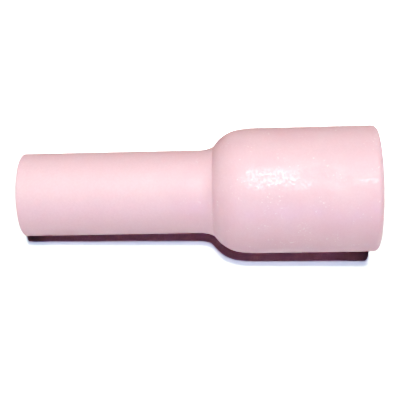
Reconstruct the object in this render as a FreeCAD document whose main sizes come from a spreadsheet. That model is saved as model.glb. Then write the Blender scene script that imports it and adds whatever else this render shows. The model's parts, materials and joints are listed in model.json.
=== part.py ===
"""Long gas nozzle (cup) of a TIG torch: one moulded and sintered alumina piece.

Frame, in millimetres: the nozzle's axis is X, with +Z up.  The origin is the centre of the
rear rim's plane.  +X points out of the threaded mouth, towards the torch, so the nozzle runs
from its rear rim at x = 0 to its tip at x = -overall_length.
"""

import FreeCAD, Part
import math
import os

import Sketcher

MM_PER_INCH = 25.4
START, END, CENTRE = 1, 2, 3  # point numbers of an edge in a sketch constraint
ORIGIN = (-1, START)  # the sketch's origin, as an end that an edge can join
UP, DOWN = math.pi / 2, -math.pi / 2
EDGE_TOLERANCE = 0.01

# Every driving dimension: its cell's alias, its value in millimetres, and what it is.
DIMENSIONS = (
    ("overall_length", 76.0, "rear rim to tip"),
    ("barrel_radius", 13.4, "outside of the wide rear barrel"),
    ("barrel_length", 25.45, "rear rim to the end of the straight barrel"),
    ("crown_radius", 26.0, "shallow arc from the barrel into the shoulder"),
    ("crown_length", 3.9, "length of the shallow arc along the axis"),
    ("shoulder_radius", 7.75, "round shoulder"),
    ("neck_radius", 6.3, "hollow arc from the shoulder's foot to the tube"),
    ("neck_length", 3.0, "length of the hollow arc along the axis"),
    ("tube_radius", 8.9, "outside of the slim front tube"),
    ("rear_edge_radius", 1.2, "rounding of the rear rim's outer edge"),
    ("tip_edge_radius", 0.45, "rounding of the tip's outer edge"),
    ("crease_radius", 0.8, "rounding of the crease at the shoulder's foot"),
    ("crest_radius", 10.7, "minor radius of the internal thread"),
    ("thread_bore_end", 11.0, "rear rim to the end of the threaded bore"),
    ("chamber_radius", 10.4, "chamber around the gas lens"),
    ("chamber_end", 26.5, "rear rim to the end of the straight chamber"),
    ("funnel_radius", 6.0, "arc from the chamber into the funnel"),
    ("funnel_slope", 45.0, "slope of the funnel's cone, in degrees"),
    ("throat_radius", 5.0, "arc from the funnel into the outlet bore"),
    ("outlet_radius", MM_PER_INCH / 4, "outlet bore, half an inch across"),
    ("mouth_edge_radius", 0.4, "rounding of the rear rim's inner edge"),
    ("outlet_edge_radius", 0.5, "rounding of the tip's inner edge"),
    ("thread_pitch", 2.117, "coarse rounded thread, 12 to the inch"),
    ("thread_turns", 3.5, "turns of the thread's groove"),
    ("thread_inner_end", 9.4, "rear rim to the groove's inner end"),
    ("groove_width", 1.0, "width of the groove between the crests"),
    ("groove_floor_radius", 0.25, "round floor of the groove"),
    ("groove_slope", 60.0, "slope of the groove's flanks from the axis, in degrees"),
    ("groove_overcut", 0.3, "how far the groove's section stands inside the crests"),
)


def make_sheet(doc):
    """Put the driving dimensions in a spreadsheet and return their values by alias."""
    sheet = doc.addObject("Spreadsheet::Sheet", "dimensions")
    for row, (alias, value, meaning) in enumerate(DIMENSIONS, start=1):
        sheet.set(f"A{row}", meaning)
        sheet.set(f"B{row}", f"{value:g}")
        sheet.setAlias(f"B{row}", alias)
    doc.recompute()
    return {alias: getattr(sheet, alias) for alias, _, _ in DIMENSIONS}


def new_sketch(body, name):
    """A sketch on the body's own XY plane: its horizontal axis is the nozzle's axis."""
    plane = next(f for f in body.Origin.OriginFeatures if f.Role == "XY_Plane")
    sketch = body.newObject("Sketcher::SketchObject", name)
    sketch.AttachmentSupport = (plane, [""])
    sketch.MapMode = "FlatFace"
    return sketch


def line(start, end):
    """A straight edge between two points, each (x, y)."""
    return Part.LineSegment(FreeCAD.Vector(*start, 0), FreeCAD.Vector(*end, 0))


def arc(centre, radius, first_angle, last_angle):
    """An anticlockwise arc round a point (x, y)."""
    circle = Part.Circle(FreeCAD.Vector(*centre, 0), FreeCAD.Vector(0, 0, 1), radius)
    return Part.ArcOfCircle(circle, first_angle, last_angle)


def join(sketch, kind, one, other):
    """Tie two ends ("Coincident", "Tangent"), an end to a line ("PointOnObject") or two edges."""
    sketch.addConstraint(Sketcher.Constraint(kind, *one, *other))


def level(sketch, kind, *edges):
    """Make edges "Horizontal", along the nozzle's axis, or "Vertical", across it."""
    for edge in edges:
        sketch.addConstraint(Sketcher.Constraint(kind, edge))


def size(sketch, dim, cell, kind, *where):
    """Add a dimensional constraint and bind it to its cell of the spreadsheet."""
    value = math.radians(dim[cell]) if kind == "Angle" else dim[cell]
    index = sketch.addConstraint(Sketcher.Constraint(kind, *where, value))
    sketch.renameConstraint(index, cell)
    sketch.setExpression(f"Constraints.{cell}", f"dimensions.{cell}")


def draw_outside(sketch, dim):
    """Half section of the outside, closed along the axis.  Returns the neck arc's number."""
    crown_slope = math.asin(dim["crown_length"] / dim["crown_radius"])
    neck_slope = math.asin(dim["neck_length"] / dim["neck_radius"])
    crown_foot = dim["barrel_radius"] - dim["crown_radius"] * (1 - math.cos(crown_slope))
    shoulder_foot = dim["tube_radius"] + dim["neck_radius"] * (1 - math.cos(neck_slope))
    fall = (crown_foot - shoulder_foot) / dim["shoulder_radius"]
    foot_slope = math.acos(math.cos(crown_slope) - fall)

    tip_x = -dim["overall_length"]
    crown_x = -dim["barrel_length"]
    shoulder_x = crown_x - (dim["crown_radius"] - dim["shoulder_radius"]) * math.sin(crown_slope)
    shoulder_y = shoulder_foot - dim["shoulder_radius"] * math.cos(foot_slope)
    neck_x = shoulder_x - dim["shoulder_radius"] * math.sin(foot_slope) - dim["neck_length"]

    axis, rim, barrel, crown, shoulder, neck, tube, tip = range(8)
    edges = [
        line((tip_x, 0), (0, 0)),
        line((0, 0), (0, dim["barrel_radius"])),
        line((0, dim["barrel_radius"]), (crown_x, dim["barrel_radius"])),
        arc(
            (crown_x, dim["barrel_radius"] - dim["crown_radius"]),
            dim["crown_radius"],
            UP,
            UP + crown_slope,
        ),
        arc(
            (shoulder_x, shoulder_y),
            dim["shoulder_radius"],
            UP + crown_slope,
            UP + foot_slope,
        ),
        arc(
            (neck_x, dim["tube_radius"] + dim["neck_radius"]),
            dim["neck_radius"],
            DOWN,
            DOWN + neck_slope,
        ),
        line((neck_x, dim["tube_radius"]), (tip_x, dim["tube_radius"])),
        line((tip_x, dim["tube_radius"]), (tip_x, 0)),
    ]
    sketch.addGeometry(edges, False)
    join(sketch, "Coincident", (axis, END), ORIGIN)
    join(sketch, "Coincident", (axis, END), (rim, START))
    join(sketch, "Coincident", (rim, END), (barrel, START))
    join(sketch, "Tangent", (barrel, END), (crown, START))
    join(sketch, "Tangent", (crown, END), (shoulder, START))
    join(sketch, "Coincident", (shoulder, END), (neck, END))
    join(sketch, "Tangent", (neck, START), (tube, START))
    join(sketch, "Coincident", (tube, END), (tip, START))
    join(sketch, "Coincident", (tip, END), (axis, START))
    level(sketch, "Horizontal", axis, barrel, tube)
    level(sketch, "Vertical", rim, tip)
    size(sketch, dim, "overall_length", "DistanceX", axis, START, axis, END)
    size(sketch, dim, "barrel_radius", "DistanceY", rim, START, rim, END)
    size(sketch, dim, "barrel_length", "DistanceX", barrel, END, barrel, START)
    size(sketch, dim, "crown_radius", "Radius", crown)
    size(sketch, dim, "crown_length", "DistanceX", crown, END, crown, START)
    size(sketch, dim, "shoulder_radius", "Radius", shoulder)
    size(sketch, dim, "neck_radius", "Radius", neck)
    size(sketch, dim, "neck_length", "DistanceX", neck, START, neck, END)
    size(sketch, dim, "tube_radius", "DistanceY", tip, END, tip, START)
    return neck


def draw_passage(sketch, dim):
    """Half section of the gas passage, from the rear rim to the tip, closed along the axis."""
    slope = math.radians(dim["funnel_slope"])
    tip_x = -dim["overall_length"]
    step_x = -dim["thread_bore_end"]
    funnel_x = -dim["chamber_end"]
    cone_top = (
        funnel_x - dim["funnel_radius"] * math.sin(slope),
        dim["chamber_radius"] - dim["funnel_radius"] * (1 - math.cos(slope)),
    )
    cone_foot_y = dim["outlet_radius"] + dim["throat_radius"] * (1 - math.cos(slope))
    cone_foot = (cone_top[0] - (cone_top[1] - cone_foot_y) / math.tan(slope), cone_foot_y)
    throat_x = cone_foot[0] - dim["throat_radius"] * math.sin(slope)

    axis, mouth, thread_bore, step, chamber, funnel, cone, throat, outlet, tip = range(10)
    edges = [
        line((tip_x, 0), (0, 0)),
        line((0, 0), (0, dim["crest_radius"])),
        line((0, dim["crest_radius"]), (step_x, dim["crest_radius"])),
        line((step_x, dim["crest_radius"]), (step_x, dim["chamber_radius"])),
        line((step_x, dim["chamber_radius"]), (funnel_x, dim["chamber_radius"])),
        arc(
            (funnel_x, dim["chamber_radius"] - dim["funnel_radius"]),
            dim["funnel_radius"],
            UP,
            UP + slope,
        ),
        line(cone_foot, cone_top),
        arc(
            (throat_x, dim["outlet_radius"] + dim["throat_radius"]),
            dim["throat_radius"],
            DOWN,
            DOWN + slope,
        ),
        line((throat_x, dim["outlet_radius"]), (tip_x, dim["outlet_radius"])),
        line((tip_x, dim["outlet_radius"]), (tip_x, 0)),
    ]
    sketch.addGeometry(edges, False)
    join(sketch, "Coincident", (axis, END), ORIGIN)
    join(sketch, "Coincident", (axis, END), (mouth, START))
    join(sketch, "Coincident", (mouth, END), (thread_bore, START))
    join(sketch, "Coincident", (thread_bore, END), (step, START))
    join(sketch, "Coincident", (step, END), (chamber, START))
    join(sketch, "Tangent", (chamber, END), (funnel, START))
    join(sketch, "Tangent", (funnel, END), (cone, END))
    join(sketch, "Tangent", (cone, START), (throat, END))
    join(sketch, "Tangent", (throat, START), (outlet, START))
    join(sketch, "Coincident", (outlet, END), (tip, START))
    join(sketch, "Coincident", (tip, END), (axis, START))
    level(sketch, "Horizontal", axis, thread_bore, chamber, outlet)
    level(sketch, "Vertical", mouth, step, tip)
    size(sketch, dim, "overall_length", "DistanceX", axis, START, axis, END)
    size(sketch, dim, "crest_radius", "DistanceY", mouth, START, mouth, END)
    size(sketch, dim, "thread_bore_end", "DistanceX", thread_bore, END, thread_bore, START)
    size(sketch, dim, "chamber_radius", "DistanceY", *ORIGIN, chamber, START)
    size(sketch, dim, "chamber_end", "DistanceX", chamber, END, *ORIGIN)
    size(sketch, dim, "funnel_radius", "Radius", funnel)
    size(sketch, dim, "funnel_slope", "Angle", cone)
    size(sketch, dim, "throat_radius", "Radius", throat)
    size(sketch, dim, "outlet_radius", "DistanceY", tip, END, tip, START)


def draw_groove(sketch, dim):
    """Section of the thread's groove: two flanks and a round floor, cut from inside the crests."""
    slope = math.radians(dim["groove_slope"])
    middle = -dim["thread_inner_end"]
    crest_half = dim["groove_width"] / 2
    base_half = crest_half + dim["groove_overcut"] / math.tan(slope)
    floor_half = dim["groove_floor_radius"] * math.sin(slope)
    base_y = dim["crest_radius"] - dim["groove_overcut"]
    floor_y = dim["crest_radius"] + (crest_half - floor_half) * math.tan(slope)

    base, left, right, floor, crests = range(5)
    sketch.addGeometry(
        [
            line((middle - base_half, base_y), (middle + base_half, base_y)),
            line((middle - base_half, base_y), (middle - floor_half, floor_y)),
            line((middle + base_half, base_y), (middle + floor_half, floor_y)),
            arc(
                (middle, floor_y - dim["groove_floor_radius"] * math.cos(slope)),
                dim["groove_floor_radius"],
                UP - slope,
                UP + slope,
            ),
        ],
        False,
    )
    crest_line = line(
        (middle - crest_half, dim["crest_radius"]), (middle + crest_half, dim["crest_radius"])
    )
    sketch.addGeometry(crest_line, True)
    join(sketch, "Coincident", (base, START), (left, START))
    join(sketch, "Coincident", (base, END), (right, START))
    join(sketch, "Tangent", (left, END), (floor, END))
    join(sketch, "Tangent", (right, END), (floor, START))
    join(sketch, "PointOnObject", (crests, START), (left,))
    join(sketch, "PointOnObject", (crests, END), (right,))
    join(sketch, "Equal", (left,), (right,))
    level(sketch, "Horizontal", base, crests)
    size(sketch, dim, "thread_inner_end", "DistanceX", floor, CENTRE, *ORIGIN)
    size(sketch, dim, "crest_radius", "DistanceY", *ORIGIN, crests, START)
    size(sketch, dim, "groove_overcut", "DistanceY", base, START, crests, START)
    size(sketch, dim, "groove_width", "DistanceX", crests, START, crests, END)
    size(sketch, dim, "groove_floor_radius", "Radius", floor)
    size(sketch, dim, "groove_slope", "Angle", left)


def turn(body, kind, sketch, name):
    """Revolve a half section right round the nozzle's axis, adding or cutting."""
    feature = body.newObject(f"PartDesign::{kind}", name)
    feature.Profile = sketch
    feature.ReferenceAxis = (sketch, ["H_Axis"])
    feature.Angle = 360
    return feature


def circle_edge(shape, x, radius):
    """Name of the round edge with this place along the axis and this radius."""
    for number, edge in enumerate(shape.Edges, start=1):
        if not isinstance(edge.Curve, Part.Circle):
            continue
        off = max(abs(edge.Curve.Center.x - x), abs(edge.Curve.Radius - radius))
        if off < EDGE_TOLERANCE:
            return f"Edge{number}"
    raise ValueError(f"no round edge at x = {x:.3f} with radius {radius:.3f}")


def round_edge(body, base, name, cell, x, radius):
    """Round one of the nozzle's circular edges."""
    fillet = body.newObject("PartDesign::Fillet", name)
    fillet.Base = (base, [circle_edge(base.Shape, x, radius)])
    fillet.setExpression("Radius", f"dimensions.{cell}")
    body.Document.recompute()
    return fillet


def cut_thread(body, dim):
    """Cut the right-hand groove, from its inner end towards the mouth."""
    section = new_sketch(body, "groove_section")
    draw_groove(section, dim)
    helix = body.newObject("PartDesign::SubtractiveHelix", "thread")
    helix.Profile = section
    helix.ReferenceAxis = (section, ["H_Axis"])
    helix.Mode = "pitch-turns-angle"
    helix.setExpression("Pitch", "dimensions.thread_pitch")
    helix.setExpression("Turns", "dimensions.thread_turns")
    helix.LeftHanded = False
    body.Document.recompute()
    return helix


def must_cut(before, feature):
    """Stop if a cutting feature took nothing away from the one before it."""
    if feature.Shape.Volume >= before.Shape.Volume:
        raise ValueError(f"{feature.Name} cut nothing")
    return feature


def make_nozzle(doc, dim):
    """The nozzle: outside, gas passage, rounded edges and internal thread."""
    body = doc.addObject("PartDesign::Body", "gas_nozzle")
    body.Label = "gas_nozzle"
    body.Placement = FreeCAD.Placement()

    outside_section = new_sketch(body, "outside_section")
    neck = draw_outside(outside_section, dim)
    solid = turn(body, "Revolution", outside_section, "outside")
    doc.recompute()

    tip = -dim["overall_length"]
    foot = outside_section.Geometry[neck].EndPoint
    solid = round_edge(body, solid, "crease", "crease_radius", foot.x, foot.y)
    solid = round_edge(body, solid, "rear_edge", "rear_edge_radius", 0, dim["barrel_radius"])
    solid = round_edge(body, solid, "tip_edge", "tip_edge_radius", tip, dim["tube_radius"])

    passage_section = new_sketch(body, "passage_section")
    draw_passage(passage_section, dim)
    passage = turn(body, "Groove", passage_section, "passage")
    doc.recompute()
    solid = must_cut(solid, passage)

    solid = round_edge(body, solid, "mouth_edge", "mouth_edge_radius", 0, dim["crest_radius"])
    solid = round_edge(body, solid, "outlet_edge", "outlet_edge_radius", tip, dim["outlet_radius"])
    must_cut(solid, cut_thread(body, dim))
    return body


def check(doc, parts):
    """Stop if any object failed, or a sub-part is not one valid solid."""
    for obj in doc.Objects:
        if {"Invalid", "Error"} & set(obj.State):
            raise ValueError(f"{obj.Name} failed: {obj.State}")
    for part in parts:
        shape = part.Shape
        if shape.isNull() or not shape.isValid() or len(shape.Solids) != 1:
            raise ValueError(f"{part.Label} is not one valid solid")


def main():
    """Build the nozzle, check it and write its file."""
    doc = FreeCAD.newDocument("tig_gas_nozzle")
    dim = make_sheet(doc)
    parts = [make_nozzle(doc, dim)]
    doc.recompute()
    check(doc, parts)
    os.makedirs("parts", exist_ok=True)
    for part in parts:
        part.Shape.exportStep(f"parts/{part.Label}.step")
        box = part.Shape.BoundBox
        print(f"{part.Label}: {part.Shape.Volume:.0f} mm3,", box)


main()
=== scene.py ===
"""The looks of the long alumina gas nozzle, lying on a white table.

Everything is in metres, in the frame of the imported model: the nozzle's axis is X, the
threaded mouth opens towards +X at x = 0, and +Z is up.
"""

import json
import math

import bpy
import numpy as np
from mathutils import Matrix, Vector


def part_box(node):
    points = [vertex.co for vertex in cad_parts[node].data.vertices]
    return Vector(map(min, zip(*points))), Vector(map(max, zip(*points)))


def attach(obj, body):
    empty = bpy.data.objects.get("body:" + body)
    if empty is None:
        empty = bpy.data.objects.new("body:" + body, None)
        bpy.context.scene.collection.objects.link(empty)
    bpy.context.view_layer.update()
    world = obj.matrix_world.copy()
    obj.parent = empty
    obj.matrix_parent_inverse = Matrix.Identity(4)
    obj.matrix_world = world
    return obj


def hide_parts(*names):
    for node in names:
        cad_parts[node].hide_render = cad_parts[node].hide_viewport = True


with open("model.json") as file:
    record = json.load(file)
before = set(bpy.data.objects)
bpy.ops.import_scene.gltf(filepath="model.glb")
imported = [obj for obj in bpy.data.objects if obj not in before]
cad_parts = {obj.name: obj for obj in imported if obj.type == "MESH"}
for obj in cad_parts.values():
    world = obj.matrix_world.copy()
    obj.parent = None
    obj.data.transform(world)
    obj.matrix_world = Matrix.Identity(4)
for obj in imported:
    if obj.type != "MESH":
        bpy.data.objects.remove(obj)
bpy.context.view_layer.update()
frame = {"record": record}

MM = 0.001
NODE = "gas_nozzle"
MOUNTS = {mount["name"]: mount for mount in frame["record"]["mounts"]}
UP, DOWN = math.pi / 2, -math.pi / 2

# Outside of the nozzle, in metres.  The box of the CAD node gives its length and barrel.
LOW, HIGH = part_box(NODE)
LENGTH = HIGH.x - LOW.x
BARREL_RADIUS = (HIGH.z - LOW.z) / 2
BARREL_LENGTH = 25.45 * MM
CROWN_RADIUS = 26.0 * MM
CROWN_LENGTH = 3.9 * MM
SHOULDER_RADIUS = 7.75 * MM
NECK_RADIUS = 6.3 * MM
NECK_LENGTH = 3.0 * MM
TUBE_RADIUS = 8.9 * MM
CREASE_RADIUS = 0.8 * MM
REAR_EDGE_RADIUS = 1.2 * MM
TIP_EDGE_RADIUS = 0.45 * MM

# Gas passage.  The record's mounts give its radii.
CREST_RADIUS = MOUNTS["torch_thread"]["dims"]["r_mm"] * MM
CHAMBER_RADIUS = MOUNTS["gas_lens_chamber"]["dims"]["r_mm"] * MM
OUTLET_RADIUS = MOUNTS["gas_outlet"]["dims"]["r_mm"] * MM
THREAD_BORE_END = 11.0 * MM
CHAMBER_END = 26.5 * MM
FUNNEL_RADIUS = 6.0 * MM
FUNNEL_SLOPE = math.radians(45)
THROAT_RADIUS = 5.0 * MM
MOUTH_EDGE_RADIUS = 0.4 * MM
OUTLET_EDGE_RADIUS = 0.5 * MM

# Internal thread.
THREAD_PITCH = 2.117 * MM
THREAD_TURNS = 3.5
THREAD_INNER_END = 9.4 * MM
GROOVE_WIDTH = 1.0 * MM
GROOVE_FLOOR_RADIUS = 0.25 * MM
GROOVE_SLOPE = math.radians(60)
RUN_OUT_TURNS = 0.3

# Mesh.
SIDES = 192
THREAD_STEP = 0.07 * MM
CURVE_STEP = 0.25 * MM
EDGE_STEP = 0.08 * MM
STRAIGHT_STEP = 0.8 * MM


def straight(start, end, step):
    """Points (x, r) from start up to, but not including, end."""
    count = max(1, round(math.dist(start, end) / step))
    return [
        (start[0] + (end[0] - start[0]) * i / count, start[1] + (end[1] - start[1]) * i / count)
        for i in range(count)
    ]


def arc(centre, radius, first, last, step):
    """Points (x, r) round an arc, up to but not including its last angle."""
    count = max(3, round(abs(last - first) * radius / step))
    angles = [first + (last - first) * i / count for i in range(count)]
    return [(centre[0] + radius * math.cos(a), centre[1] + radius * math.sin(a)) for a in angles]


def circle_crossing(centre, radius, other, other_radius):
    """The crossing of two circles that lies nearer the -X end."""
    apart = math.dist(centre, other)
    along = (apart**2 + radius**2 - other_radius**2) / (2 * apart)
    across = math.sqrt(radius**2 - along**2)
    ux, uy = (other[0] - centre[0]) / apart, (other[1] - centre[1]) / apart
    foot = (centre[0] + ux * along, centre[1] + uy * along)
    crossings = [(foot[0] + s * uy * across, foot[1] - s * ux * across) for s in (1, -1)]
    return min(crossings)


def angle_from(centre, point):
    """Direction of a point seen from a centre."""
    return math.atan2(point[1] - centre[1], point[0] - centre[0])


def outside_profile():
    """Rear rim's outer edge to the tip's outer edge."""
    crown_slope = math.asin(CROWN_LENGTH / CROWN_RADIUS)
    neck_slope = math.asin(NECK_LENGTH / NECK_RADIUS)
    crown_foot = BARREL_RADIUS - CROWN_RADIUS * (1 - math.cos(crown_slope))
    shoulder_foot = TUBE_RADIUS + NECK_RADIUS * (1 - math.cos(neck_slope))
    foot_slope = math.acos(math.cos(crown_slope) - (crown_foot - shoulder_foot) / SHOULDER_RADIUS)

    crown = (-BARREL_LENGTH, BARREL_RADIUS - CROWN_RADIUS)
    shoulder = (
        crown[0] - (CROWN_RADIUS - SHOULDER_RADIUS) * math.sin(crown_slope),
        shoulder_foot - SHOULDER_RADIUS * math.cos(foot_slope),
    )
    neck = (
        shoulder[0] - SHOULDER_RADIUS * math.sin(foot_slope) - NECK_LENGTH,
        TUBE_RADIUS + NECK_RADIUS,
    )
    crease = circle_crossing(
        shoulder, SHOULDER_RADIUS + CREASE_RADIUS, neck, NECK_RADIUS - CREASE_RADIUS
    )
    crease_top = angle_from(shoulder, crease)
    crease_foot = angle_from(neck, crease)

    rear_edge = (-REAR_EDGE_RADIUS, BARREL_RADIUS - REAR_EDGE_RADIUS)
    tip_edge = (-LENGTH + TIP_EDGE_RADIUS, TUBE_RADIUS - TIP_EDGE_RADIUS)
    return (
        arc(rear_edge, REAR_EDGE_RADIUS, 0, UP, EDGE_STEP)
        + straight((rear_edge[0], BARREL_RADIUS), (-BARREL_LENGTH, BARREL_RADIUS), STRAIGHT_STEP)
        + arc(crown, CROWN_RADIUS, UP, UP + crown_slope, CURVE_STEP)
        + arc(shoulder, SHOULDER_RADIUS, UP + crown_slope, crease_top, CURVE_STEP)
        + arc(crease, CREASE_RADIUS, crease_top - math.pi, crease_foot, EDGE_STEP)
        + arc(neck, NECK_RADIUS, crease_foot, DOWN, CURVE_STEP)
        + straight((neck[0], TUBE_RADIUS), (tip_edge[0], TUBE_RADIUS), STRAIGHT_STEP)
        + arc(tip_edge, TIP_EDGE_RADIUS, UP, math.pi, EDGE_STEP)
    )


def inside_profile():
    """Tip face, outlet bore, funnel, chamber, threaded bore and rear rim's face."""
    outlet_edge = (-LENGTH + OUTLET_EDGE_RADIUS, OUTLET_RADIUS + OUTLET_EDGE_RADIUS)
    mouth_edge = (-MOUTH_EDGE_RADIUS, CREST_RADIUS + MOUTH_EDGE_RADIUS)
    funnel = (-CHAMBER_END, CHAMBER_RADIUS - FUNNEL_RADIUS)
    cone_top = (
        funnel[0] - FUNNEL_RADIUS * math.sin(FUNNEL_SLOPE),
        funnel[1] + FUNNEL_RADIUS * math.cos(FUNNEL_SLOPE),
    )
    cone_foot_r = OUTLET_RADIUS + THROAT_RADIUS * (1 - math.cos(FUNNEL_SLOPE))
    cone_foot = (cone_top[0] - (cone_top[1] - cone_foot_r) / math.tan(FUNNEL_SLOPE), cone_foot_r)
    throat = (
        cone_foot[0] - THROAT_RADIUS * math.sin(FUNNEL_SLOPE),
        OUTLET_RADIUS + THROAT_RADIUS,
    )
    return (
        straight((-LENGTH, TUBE_RADIUS - TIP_EDGE_RADIUS), (-LENGTH, outlet_edge[1]), CURVE_STEP)
        + arc(outlet_edge, OUTLET_EDGE_RADIUS, -math.pi, DOWN, EDGE_STEP)
        + straight((outlet_edge[0], OUTLET_RADIUS), (throat[0], OUTLET_RADIUS), STRAIGHT_STEP)
        + arc(throat, THROAT_RADIUS, DOWN, DOWN + FUNNEL_SLOPE, CURVE_STEP)
        + straight(cone_foot, cone_top, CURVE_STEP)
        + arc(funnel, FUNNEL_RADIUS, UP + FUNNEL_SLOPE, UP, CURVE_STEP)
        + straight(
            (-CHAMBER_END, CHAMBER_RADIUS), (-THREAD_BORE_END, CHAMBER_RADIUS), STRAIGHT_STEP
        )
        + straight((-THREAD_BORE_END, CHAMBER_RADIUS), (-THREAD_BORE_END, CREST_RADIUS), EDGE_STEP)
        + straight((-THREAD_BORE_END, CREST_RADIUS), (mouth_edge[0], CREST_RADIUS), THREAD_STEP)
        + arc(mouth_edge, MOUTH_EDGE_RADIUS, DOWN, 0, EDGE_STEP)
        + straight((0, mouth_edge[1]), (0, BARREL_RADIUS - REAR_EDGE_RADIUS), CURVE_STEP)
    )


def smooth(value):
    """Ease from 0 to 1 as the value does."""
    value = np.clip(value, 0, 1)
    return value * value * (3 - 2 * value)


def groove_depth(x, angle):
    """Depth of the thread's groove below the crests, at places along and round the bore.

    The groove is a right-hand helix that starts at +Y and fades out at both ends.
    """
    floor_half = GROOVE_FLOOR_RADIUS * math.sin(GROOVE_SLOPE)
    floor_centre = (GROOVE_WIDTH / 2 - floor_half) * math.tan(GROOVE_SLOPE)
    floor_centre -= GROOVE_FLOOR_RADIUS * math.cos(GROOVE_SLOPE)
    turns_here = (x + THREAD_INNER_END) / THREAD_PITCH
    part_turn = angle / math.tau
    nearest = np.round(turns_here - part_turn)
    off = np.abs(turns_here - part_turn - nearest) * THREAD_PITCH
    flank = (GROOVE_WIDTH / 2 - off) * math.tan(GROOVE_SLOPE)
    floor = floor_centre + np.sqrt(np.maximum(GROOVE_FLOOR_RADIUS**2 - off**2, 0))
    depth = np.where(off < floor_half, floor, np.maximum(flank, 0))
    turn = nearest + part_turn
    fade = smooth(turn / RUN_OUT_TURNS) * smooth((THREAD_TURNS - turn) / RUN_OUT_TURNS)
    return depth * fade


def lathe_mesh(name, profile):
    """Turn a closed profile of (x, r) points round the X axis into a mesh of quads."""
    xs, radii = (np.array(v)[:, None] for v in zip(*profile))
    angles = np.arange(SIDES)[None, :] * math.tau / SIDES
    threaded = (np.abs(radii - CREST_RADIUS) < EDGE_STEP / 100) & (xs > -THREAD_BORE_END)
    radii = radii + np.where(threaded, groove_depth(xs, angles), 0)
    xs = np.broadcast_to(xs, radii.shape)
    points = np.stack([xs, radii * np.cos(angles), radii * np.sin(angles)], axis=-1)

    rings = len(profile)
    ring, side = np.meshgrid(np.arange(rings), np.arange(SIDES), indexing="ij")
    next_ring, next_side = (ring + 1) % rings, (side + 1) % SIDES
    faces = np.stack(
        [
            ring * SIDES + side,
            ring * SIDES + next_side,
            next_ring * SIDES + next_side,
            next_ring * SIDES + side,
        ],
        axis=-1,
    )
    mesh = bpy.data.meshes.new(name)
    mesh.from_pydata(points.reshape(-1, 3).tolist(), [], faces.reshape(-1, 4).tolist())
    mesh.polygons.foreach_set("use_smooth", [True] * len(mesh.polygons))
    mesh.update()
    return mesh


def new_object(name, data):
    """An object of this name, linked to the scene."""
    obj = bpy.data.objects.new(name, data)
    bpy.context.scene.collection.objects.link(obj)
    return obj


class Shading:
    """Builds a material out of nodes on the row's own coordinates."""

    def __init__(self, name):
        self.material = bpy.data.materials.new(name)
        self.material.use_nodes = True
        self.tree = self.material.node_tree
        self.shader = self.tree.nodes["Principled BSDF"]
        self.place = self.tree.nodes.new("ShaderNodeTexCoord").outputs["Object"]

    def node(self, kind, *links, **settings):
        """Add a node, feed its inputs in order, and set its properties."""
        made = self.tree.nodes.new(kind)
        for name, value in settings.items():
            setattr(made, name, value)
        for socket, value in zip(made.inputs, links):
            self.feed(socket, value)
        return made

    def feed(self, socket, value):
        """Link a socket to another node's output, or give it a plain value."""
        if isinstance(value, bpy.types.NodeSocket):
            self.tree.links.new(value, socket)
        elif value is not None:
            socket.default_value = value

    def maths(self, operation, *values):
        """One Math node's result."""
        return self.node("ShaderNodeMath", *values, operation=operation).outputs[0]

    def noise(self, size, detail, stretch=(1, 1, 1), shift=(0, 0, 0)):
        """Smooth noise from 0 to 1, with blotches about this size in metres."""
        mapping = self.node("ShaderNodeMapping", self.place)
        mapping.inputs["Location"].default_value = shift
        mapping.inputs["Scale"].default_value = [1 / (size * s) for s in stretch]
        texture = self.node("ShaderNodeTexNoise", mapping.outputs[0])
        texture.inputs["Scale"].default_value = 1.0
        texture.inputs["Detail"].default_value = detail
        return texture.outputs["Fac"]

    def ramp(self, value, low, high, out_low=0.0, out_high=1.0):
        """Smoothly map low..high to out_low..out_high."""
        made = self.node("ShaderNodeMapRange", value, low, high, out_low, out_high)
        made.interpolation_type = "SMOOTHSTEP"
        return made.outputs[0]

    def blend(self, amount, colour, other):
        """Mix two colours by an amount."""
        made = self.node("ShaderNodeMix", data_type="RGBA")
        sockets = {s.identifier: s for s in made.inputs}
        self.feed(sockets["Factor_Float"], amount)
        self.feed(sockets["A_Color"], colour)
        self.feed(sockets["B_Color"], other)
        return next(s for s in made.outputs if s.identifier == "Result_Color")

    def bump(self, height, distance, under=None):
        """Raise the surface by a height from 0 to 1, times a distance in metres."""
        made = self.node("ShaderNodeBump")
        made.inputs["Strength"].default_value = 1
        made.inputs["Distance"].default_value = distance
        self.feed(made.inputs["Height"], height)
        self.feed(made.inputs["Normal"], under)
        return made.outputs[0]


ALUMINA_PINK = (0.765, 0.472, 0.550, 1)
ALUMINA_PALE = (0.785, 0.500, 0.572, 1)
# The tube's paler colour is painted light, not a colour of the ceramic.
ALUMINA_TUBE_PAINTED_LIGHT = (0.805, 0.518, 0.590, 1)
ALUMINA_DEEP = (0.71, 0.41, 0.485, 1)
CHALK = (0.90, 0.74, 0.76, 1)
ALUMINA_IOR = 1.5
ALUMINA_SPECULAR = 0.16
GLAZE_IOR = 1.6
GLAZE_ROUGHNESS = 0.32
GLAZE_WEIGHT = 0.21
GLOW_WEIGHT = 0.2  # how much light soaks into the ceramic, how deep and by colour
GLOW_DEPTH = 1.2 * MM
GLOW_COLOURS = (1.0, 0.5, 0.5)
TUBE_PAINTED_LIGHT_SPAN = (-50 * MM, -38 * MM)  # painted light: the tube is painted a little paler than the barrel, for the lamps' light that falls off towards it
TUBE_PAINTED_LIGHT = 0.6
HANDLED = (-48 * MM, -28 * MM)  # towards the rear from here, fingers and jaws have rubbed it

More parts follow.
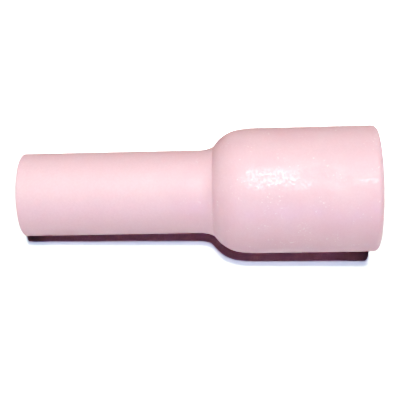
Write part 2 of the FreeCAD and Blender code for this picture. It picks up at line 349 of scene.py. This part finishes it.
# Sizes of the ceramic's blotches, and how strongly or how high they show.
CLOUD_SIZE = 9 * MM
GRAIN_SIZE, GRAIN_STRENGTH = 0.45 * MM, 0.25
CHIP_SIZE, CHIPPED_AREA, CHIP_STRENGTH = 0.5 * MM, 4.0 * MM, 0.5
MATT_SIZE, MATT_ROUGHNESS = 1.5 * MM, (0.52, 0.62)
RUBBED_AREA, BROKEN_SIZE = 4.5 * MM, 0.5 * MM
RING_SIZE, RING_HEIGHT = 2.0 * MM, 0.003 * MM
FINE_SIZE, FINE_HEIGHT = 0.22 * MM, 0.004 * MM
WAVE_SIZE, WAVE_HEIGHT = 1.3 * MM, 0.010 * MM
ROUND_THE_AXIS = (0.15, 6, 6)
ALONG_THE_AXIS = (1.5, 1, 1)


def alumina_colour(s, along, handled):
    """Pink with paler clouds, a fine dark grain, and chalky chips where it is handled. The tube is
    painted paler, as painted light.
    """
    clouds = s.ramp(s.noise(CLOUD_SIZE, 3), 0.35, 0.65)
    grain = s.ramp(s.noise(GRAIN_SIZE, 3), 0.3, 0.7)
    colour = s.blend(clouds, ALUMINA_PINK, ALUMINA_PALE)
    # Painted light: the tube's colour turns paler where the lamps bring less light to it.
    colour = s.blend(s.ramp(along, *TUBE_PAINTED_LIGHT_SPAN, TUBE_PAINTED_LIGHT, 0), colour, ALUMINA_TUBE_PAINTED_LIGHT)
    colour = s.blend(s.maths("MULTIPLY", grain, GRAIN_STRENGTH), colour, ALUMINA_DEEP)

    chips = s.ramp(s.noise(CHIP_SIZE, 1), 0.65, 0.71)
    chipped = s.ramp(s.noise(CHIPPED_AREA, 1, shift=(0.6, 2.2, 0.3)), 0.52, 0.62)
    specks = s.maths("MULTIPLY", s.maths("MULTIPLY", chips, chipped), handled)
    return s.blend(s.maths("MULTIPLY", specks, CHIP_STRENGTH), colour, CHALK)


def alumina_glaze(s, handled):
    """How much gloss lies on the ceramic: broken patches, rubbed on the barrel."""
    rubbed = s.noise(RUBBED_AREA, 3, stretch=ALONG_THE_AXIS, shift=(5.2, 2.1, 3.3))
    rubbed = s.ramp(rubbed, 0.46, 0.58)
    broken = s.ramp(s.noise(BROKEN_SIZE, 4), 0.40, 0.60)
    glaze = s.maths("MULTIPLY", s.maths("MULTIPLY", rubbed, broken), handled)
    return s.maths("MULTIPLY", glaze, GLAZE_WEIGHT)


def alumina_relief(s):
    """Faint rings round the axis, a fine grain and shallow waves."""
    rings = s.bump(s.noise(RING_SIZE, 3, stretch=ROUND_THE_AXIS), RING_HEIGHT)
    fine = s.bump(s.noise(FINE_SIZE, 2), FINE_HEIGHT, under=rings)
    return s.bump(s.noise(WAVE_SIZE, 4), WAVE_HEIGHT, under=fine)


def alumina():
    """Sintered pink alumina: matt, faintly mottled, rubbed glossy in patches on the barrel."""
    s = Shading("alumina")
    along = s.node("ShaderNodeSeparateXYZ", s.place).outputs["X"]
    handled = s.ramp(along, *HANDLED)
    matt = s.ramp(s.noise(MATT_SIZE, 3), 0.3, 0.7, *MATT_ROUGHNESS)
    s.feed(s.shader.inputs["Base Color"], alumina_colour(s, along, handled))
    s.feed(s.shader.inputs["Roughness"], matt)
    s.feed(s.shader.inputs["Coat Weight"], alumina_glaze(s, handled))
    s.feed(s.shader.inputs["Normal"], alumina_relief(s))
    s.shader.inputs["IOR"].default_value = ALUMINA_IOR
    s.shader.inputs["Specular IOR Level"].default_value = ALUMINA_SPECULAR
    s.shader.inputs["Coat Roughness"].default_value = GLAZE_ROUGHNESS
    s.shader.inputs["Coat IOR"].default_value = GLAZE_IOR
    s.shader.inputs["Subsurface Weight"].default_value = GLOW_WEIGHT
    s.shader.inputs["Subsurface Radius"].default_value = GLOW_COLOURS
    s.shader.inputs["Subsurface Scale"].default_value = GLOW_DEPTH
    return s.material


def make_nozzle():
    """The ceramic body, as one closed mesh that stands for the CAD node."""
    mesh = lathe_mesh("ceramic_body", outside_profile() + inside_profile())
    mesh.materials.append(alumina())
    nozzle = new_object("ceramic_body", mesh)
    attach(nozzle, "root")
    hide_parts(NODE)


make_nozzle()

MIDDLE = Vector((-38, 0, 0)) * MM  # of the nozzle's axis

# The nozzle lies on its barrel and its tip, so the table slopes a little in its frame.
REST_TILT = math.asin((BARREL_RADIUS - TUBE_RADIUS) / (LENGTH - BARREL_LENGTH))
TABLE_RADIUS = 0.6
TABLE_RIM_POINTS = 96
PAPER_WHITE = (0.93, 0.93, 0.93, 1)
PAPER_DIM = (0.50, 0.34, 0.31, 1)  # painted shade: what the nozzle gets back on the lamps' side
# The colour of the paper's own glow: painted light, as no lamp lies under it.
PAPER_GLOW = (0.83, 0.81, 0.86, 1)
PAPER_ROUGHNESS = 0.9
END_GLOW = (42 * MM, 55 * MM)  # along, from the middle
SIDE_GLOW = (-24 * MM, -17.5 * MM)  # across, on the side away from the lamps
LOW_GLOW = 0.8  # the side's glow as the nozzle gets it, beside what the camera sees
LAMP_SIDE = (3 * MM, 12 * MM)  # across, where the paper starts to glow for the camera only, painted light that makes it look white
DIM_SIDE = (9 * MM, 17 * MM)  # across, where its light back turns dimmer and redder


def table_paper():
    """White paper that glows by itself, as painted light with no lamp under it, on one side of the
    nozzle and towards its ends.

    On the lamps' side it glows for the camera only and so looks white, yet sends dimmer and redder
    light back to the nozzle.
    """
    s = Shading("white_paper")
    across = s.node("ShaderNodeSeparateXYZ", s.place).outputs["Y"]
    along = s.node("ShaderNodeSeparateXYZ", s.place).outputs["X"]
    seen = s.node("ShaderNodeLightPath").outputs["Is Camera Ray"]
    # Painted shade: for the light it sends back to the nozzle, the paper turns dimmer and redder
    # on the lamps' side, while the camera sees it white.
    bounce = s.blend(s.ramp(across, *DIM_SIDE), PAPER_WHITE, PAPER_DIM)
    s.feed(s.shader.inputs["Base Color"], s.blend(seen, bounce, PAPER_WHITE))
    s.shader.inputs["Roughness"].default_value = PAPER_ROUGHNESS
    s.shader.inputs["Specular IOR Level"].default_value = 0

    # Painted light: the paper glows by itself towards the ends and on the side away from the
    # lamps, and for the camera also on the lamps' side.
    from_middle = s.maths("ABSOLUTE", s.maths("SUBTRACT", along, MIDDLE.x + BARREL_LENGTH))
    ends = s.ramp(from_middle, *END_GLOW)
    side = s.ramp(across, *SIDE_GLOW, 1, 0)
    side = s.maths("MULTIPLY", side, s.ramp(seen, 0, 1, LOW_GLOW, 1))
    camera_only_glow = s.maths("MULTIPLY", s.ramp(across, *LAMP_SIDE), seen)
    glow = s.maths("MAXIMUM", s.maths("MAXIMUM", ends, side), camera_only_glow)
    s.feed(s.shader.inputs["Emission Strength"], glow)
    s.shader.inputs["Emission Color"].default_value = PAPER_GLOW
    return s.material


def make_table():
    """A flat round table, topped with the paper, that the barrel and the tip touch."""
    turns = [math.tau * i / TABLE_RIM_POINTS for i in range(TABLE_RIM_POINTS)]
    rim = [(TABLE_RADIUS * math.cos(a), TABLE_RADIUS * math.sin(a), 0) for a in turns]
    mesh = bpy.data.meshes.new("table")
    mesh.from_pydata(rim, [], [range(TABLE_RIM_POINTS)])
    mesh.materials.append(table_paper())
    table = new_object("table", mesh)
    touch = Vector((-BARREL_LENGTH, 0, -BARREL_RADIUS))
    table.matrix_world = Matrix.Translation(touch) @ Matrix.Rotation(REST_TILT, 4, "Y")


make_table()

CAMERA_PLACE = Vector((-24.8, -0.07, 205.3)) * MM
CAMERA_TURN = (  # in radians
    Matrix.Rotation(0.0634, 3, "Y")
    @ Matrix.Rotation(-0.0084, 3, "X")
    @ Matrix.Rotation(-0.0193, 3, "Z")
)
SENSOR_WIDTH = 36  # millimetres, as the lens is
LENS = 85.9
NEAREST, FARTHEST = 0.01, 10


def make_camera():
    """The camera above the table, looking almost straight down at it."""
    data = bpy.data.cameras.new("camera")
    data.sensor_width = SENSOR_WIDTH
    data.lens = LENS
    data.clip_start, data.clip_end = NEAREST, FARTHEST
    camera = new_object("camera", data)
    camera.matrix_world = Matrix.Translation(CAMERA_PLACE) @ CAMERA_TURN.to_4x4()
    bpy.context.scene.camera = camera


make_camera()

# Lights: name, place from the middle of the nozzle in millimetres, width and height in
# millimetres, watts, colour.
LIGHTS = (
    ("cool_lamp", (50, 104, 600), 15, 15, 2.16, (0.84, 1.0, 1.33)),
    ("warm_lamp", (50, 143, 600), 30, 18, 2.14, (1.30, 1.36, 0.86)),
    ("gloss_lamp", (0, 120, 190), 120, 80, 1.3, (1.0, 0.97, 0.92)),
    ("sky_gloss", (0, -380, 380), 600, 180, 4.2, (0.15, 0.10, 1.0)),
)
GLOSS_ONLY = ("gloss_lamp", "sky_gloss")


def make_lights():
    """Two small lamps above, and two soft ones that only shine on gloss."""
    for name, offset, width, height, power, colour in LIGHTS:
        data = bpy.data.lights.new(name, "AREA")
        data.shape = "RECTANGLE"
        data.size, data.size_y = width * MM, height * MM
        data.energy = power
        data.color = colour
        light = new_object(name, data)
        light.visible_diffuse = name not in GLOSS_ONLY
        place = MIDDLE + Vector(offset) * MM
        turn = (MIDDLE - place).to_track_quat("-Z", "Y").to_matrix().to_4x4()
        light.matrix_world = Matrix.Translation(place) @ turn


make_lights()

ROOM_LIGHT = 0.02


def make_room():
    """A white room to look at, which itself lights the nozzle only a little."""
    world = bpy.data.worlds.new("room")
    world.use_nodes = True
    nodes, links = world.node_tree.nodes, world.node_tree.links
    seen = nodes.new("ShaderNodeLightPath").outputs["Is Camera Ray"]
    strength = nodes.new("ShaderNodeMapRange")
    links.new(seen, strength.inputs["Value"])
    strength.inputs["To Min"].default_value = ROOM_LIGHT
    strength.inputs["To Max"].default_value = 1.0
    links.new(strength.outputs[0], nodes["Background"].inputs["Strength"])
    nodes["Background"].inputs["Color"].default_value = (1, 1, 1, 1)
    bpy.context.scene.world = world


make_room()

# How dark tones are shown, each as (scene, picture); brighter ones stay about as they are.
FILM_TOE = (
    (0.06, 0.006), (0.12, 0.028), (0.15, 0.055), (0.19, 0.095), (0.3, 0.28), (0.4, 0.4),
)


def develop():
    """Show colours as they are, with the darkest shadows deepened as a camera does."""
    view = bpy.context.scene.view_settings
    view.view_transform = "Standard"
    view.use_curve_mapping = True
    all_channels = view.curve_mapping.curves[3]
    for dark, shown in FILM_TOE:
        all_channels.points.new(dark, shown)
    view.curve_mapping.update()


develop()
